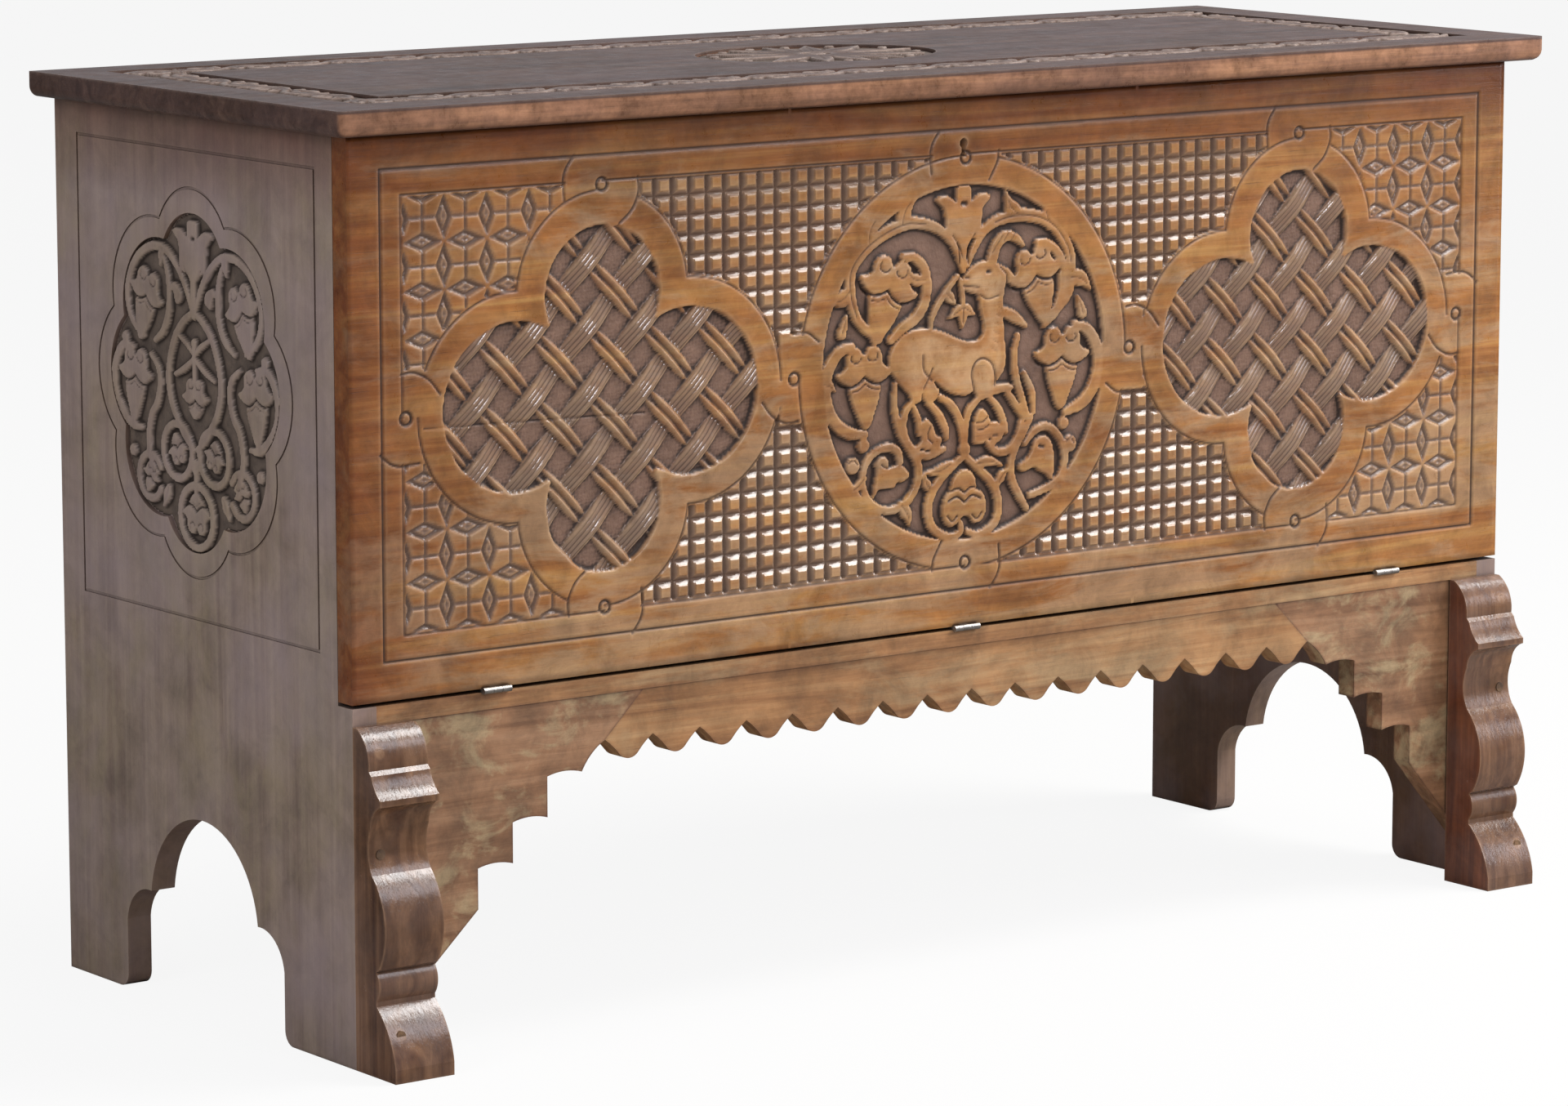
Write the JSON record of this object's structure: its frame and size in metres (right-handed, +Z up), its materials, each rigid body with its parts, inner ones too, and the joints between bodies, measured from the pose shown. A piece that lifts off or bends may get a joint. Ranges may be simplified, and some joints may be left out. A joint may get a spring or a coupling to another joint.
{
  "type": "cassone",
  "caption": "Carved chest with a hinged lid and a fall front on slotted stays, arched end boards, scalloped apron and shaped bracket feet.",
  "frame": {"origin": "on the floor, at the middle of the chest's bounding box", "axes": "+X to the right as seen from the front, +Y to the back, +Z up"},
  "size_m": [1.246, 0.503, 0.7483],
  "materials": {
    "carved_walnut_front": "waxed, carved, warm honey brown",
    "carved_walnut_side": "waxed, carved, greyer brown",
    "dark_walnut_lid": "dark, polished",
    "polished_walnut_legs": "red brown with a sheen",
    "worn_walnut_apron": "worn and bleached in patches",
    "plain_walnut": "sawn and planed, unwaxed",
    "oak_pegs": "end grain",
    "bright_iron": "rubbed bright iron",
    "wrought_iron": "dark forged iron"
  },
  "bodies": {
    "carcase": {"apron_centre": "worn_walnut_apron", "apron_rail": "plain_walnut", "apron_wing_left": "worn_walnut_apron", "apron_wing_right": "worn_walnut_apron", "back_board": "plain_walnut", "bracket_leg_left": "polished_walnut_legs", "bracket_leg_right": "polished_walnut_legs", "bracket_pegs_left": "oak_pegs", "bracket_pegs_right": "oak_pegs", "floor_board": "plain_walnut", "floor_cleat_left": "plain_walnut", "floor_cleat_right": "plain_walnut", "front_hinge_frame_leaf_1": "bright_iron", "front_hinge_frame_leaf_2": "bright_iron", "front_hinge_frame_leaf_3": "bright_iron", "front_hinge_frame_screws": "bright_iron", "front_hinge_pin_1": "bright_iron", "front_hinge_pin_2": "bright_iron", "front_hinge_pin_3": "bright_iron", "left_side_board": "carved_walnut_side", "lid_hinge_back_leaf_1": "wrought_iron", "lid_hinge_back_leaf_2": "wrought_iron", "lid_hinge_back_leaf_3": "wrought_iron", "lid_hinge_back_screws": "wrought_iron", "lid_hinge_pin_1": "wrought_iron", "lid_hinge_pin_2": "wrought_iron", "lid_hinge_pin_3": "wrought_iron", "right_side_board": "carved_walnut_side", "stay_pin_left": "wrought_iron", "stay_pin_right": "wrought_iron"},
    "lid": {"lid_batten_left": "plain_walnut", "lid_batten_right": "plain_walnut", "lid_board": "dark_walnut_lid", "lid_hinge_lid_leaf_1": "wrought_iron", "lid_hinge_lid_leaf_2": "wrought_iron", "lid_hinge_lid_leaf_3": "wrought_iron", "lid_hinge_lid_screws": "wrought_iron", "strike_plate": "bright_iron", "strike_screws": "bright_iron"},
    "fall_front": {"fall_front_panel": "carved_walnut_front", "front_hinge_door_leaf_1": "bright_iron", "front_hinge_door_leaf_2": "bright_iron", "front_hinge_door_leaf_3": "bright_iron", "front_hinge_door_screws": "bright_iron", "lock_case": "bright_iron", "lock_pivot": "bright_iron", "lock_plate": "bright_iron", "lock_screws": "bright_iron", "stay_bracket_left": "wrought_iron", "stay_bracket_right": "wrought_iron"},
    "stay_left": {"stay_arm_left": "wrought_iron"},
    "stay_right": {"stay_arm_right": "wrought_iron"},
    "lock_hook": {"lock_hook": "bright_iron"}
  },
  "joints": [
    {"name": "lid_hinge", "type": "hinge", "parent": "carcase", "child": "lid", "pos_m": [0, 0.2481, 0.7273], "axis": [-1, 0, 0], "range_deg": [0, 95]},
    {"name": "fall_front_hinge", "type": "hinge", "parent": "carcase", "child": "fall_front", "pos_m": [0, -0.1983, 0.2865], "axis": [1, 0, 0], "range_deg": [0, 90]},
    {"name": "stay_left_pivot", "type": "hinge", "parent": "fall_front", "child": "stay_left", "pos_m": [-0.5747, -0.1655, 0.46349], "axis": [-1, 0, 0], "range_deg": [0, 45]},
    {"name": "stay_right_pivot", "type": "hinge", "parent": "fall_front", "child": "stay_right", "pos_m": [0.5747, -0.1655, 0.46349], "axis": [-1, 0, 0], "range_deg": [0, 45]},
    {"name": "lock_hook_pivot", "type": "hinge", "parent": "fall_front", "child": "lock_hook", "pos_m": [-0.014, -0.1695, 0.713], "axis": [0, -1, 0], "range_deg": [0, 60]}
  ],
  "couplings": [
    {"joint": "stay_left_pivot", "follows": "fall_front_hinge", "ratio": 0.5},
    {"joint": "stay_right_pivot", "follows": "fall_front_hinge", "ratio": 0.5}
  ]
}
